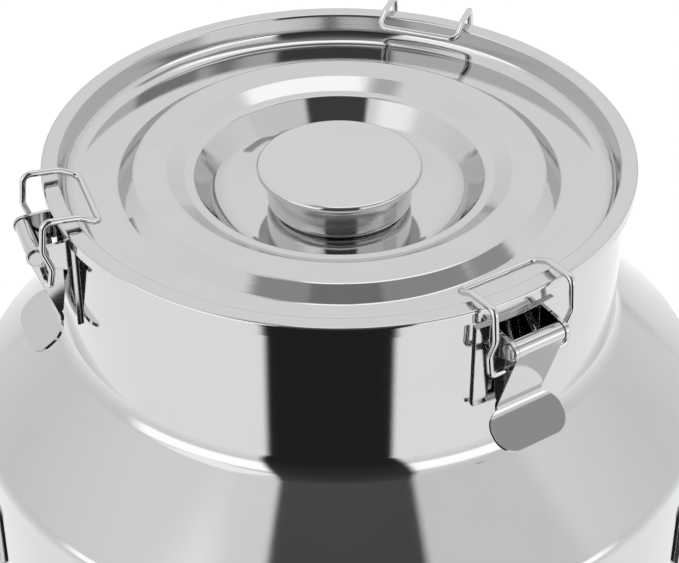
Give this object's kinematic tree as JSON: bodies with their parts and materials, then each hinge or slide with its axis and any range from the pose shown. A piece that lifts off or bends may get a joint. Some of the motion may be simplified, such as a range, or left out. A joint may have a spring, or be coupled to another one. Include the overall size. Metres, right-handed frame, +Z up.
{
  "type": "milk can",
  "caption": "Stainless steel milk can with a drop-in pressed lid, a centre knob, wire toggle latches on the neck and two side handles.",
  "frame": {"origin": "centre of the floor face of the foot ring", "axes": "+Z up along the can's axis, +X through the right-hand handle, -Y the front"},
  "size_m": [0.432, 0.332, 0.4549],
  "materials": {
    "can_steel": "mirror-polished stainless steel",
    "base_steel": "satin stainless steel with scuffs from standing",
    "lid_steel": "mirror-polished pressed stainless steel",
    "handle_steel": "fine satin round bar",
    "latch_steel": "polished pressed stainless steel",
    "wire_steel": "bright drawn stainless wire",
    "silicone": "food-grade translucent white silicone"
  },
  "bodies": {
    "can": {"body_barrel": "can_steel", "shoulder_neck": "can_steel", "mouth_ring": "can_steel", "base_pan": "base_steel", "foot_ring": "base_steel", "handle_bar_right": "handle_steel", "handle_pads_right": "handle_steel", "handle_bar_left": "handle_steel", "handle_pads_left": "handle_steel", "latch_rear_bracket": "latch_steel", "latch_rear_pin": "latch_steel", "latch_left_bracket": "latch_steel", "latch_left_pin": "latch_steel", "latch_right_bracket": "latch_steel", "latch_right_pin": "latch_steel"},
    "lid": {"lid_pressing": "lid_steel", "lid_gasket": "silicone", "knob_cap": "lid_steel", "knob_drum": "lid_steel"},
    "lever_rear": {"latch_rear_lever": "latch_steel"},
    "loop_rear": {"latch_rear_loop": "wire_steel"},
    "lever_left": {"latch_left_lever": "latch_steel"},
    "loop_left": {"latch_left_loop": "wire_steel"},
    "lever_right": {"latch_right_lever": "latch_steel"},
    "loop_right": {"latch_right_loop": "wire_steel"}
  },
  "joints": [
    {"name": "lid_lift", "type": "slide", "parent": "can", "child": "lid", "axis": [0, 0, 1], "range_m": [0, 0.24]},
    {"name": "lever_rear_swing", "type": "hinge", "parent": "can", "child": "lever_rear", "pos_m": [0.04473, 0.12631, 0.434], "axis": [0.9426, -0.3338, 0], "range_deg": [0, 110]},
    {"name": "loop_rear_swing", "type": "hinge", "parent": "lever_rear", "child": "loop_rear", "pos_m": [0.04349, 0.12283, 0.4225], "axis": [0.9426, -0.3338, 0], "range_deg": [-198, 0]},
    {"name": "lever_left_swing", "type": "hinge", "parent": "can", "child": "lever_left", "pos_m": [-0.12631, -0.04473, 0.434], "axis": [-0.3338, 0.9426, 0], "range_deg": [0, 110]},
    {"name": "loop_left_swing", "type": "hinge", "parent": "lever_left", "child": "loop_left", "pos_m": [-0.12283, -0.04349, 0.4225], "axis": [-0.3338, 0.9426, 0], "range_deg": [-198, 0]},
    {"name": "lever_right_swing", "type": "hinge", "parent": "can", "child": "lever_right", "pos_m": [0.07493, -0.11109, 0.434], "axis": [-0.829, -0.5592, 0], "range_deg": [0, 110]},
    {"name": "loop_right_swing", "type": "hinge", "parent": "lever_right", "child": "loop_right", "pos_m": [0.07286, -0.10802, 0.4225], "axis": [-0.829, -0.5592, 0], "range_deg": [-198, 0]}
  ],
  "couplings": [
    {"joint": "loop_rear_swing", "follows": "lever_rear_swing", "ratio": -1.8},
    {"joint": "loop_left_swing", "follows": "lever_left_swing", "ratio": -1.8},
    {"joint": "loop_right_swing", "follows": "lever_right_swing", "ratio": -1.8}
  ]
}
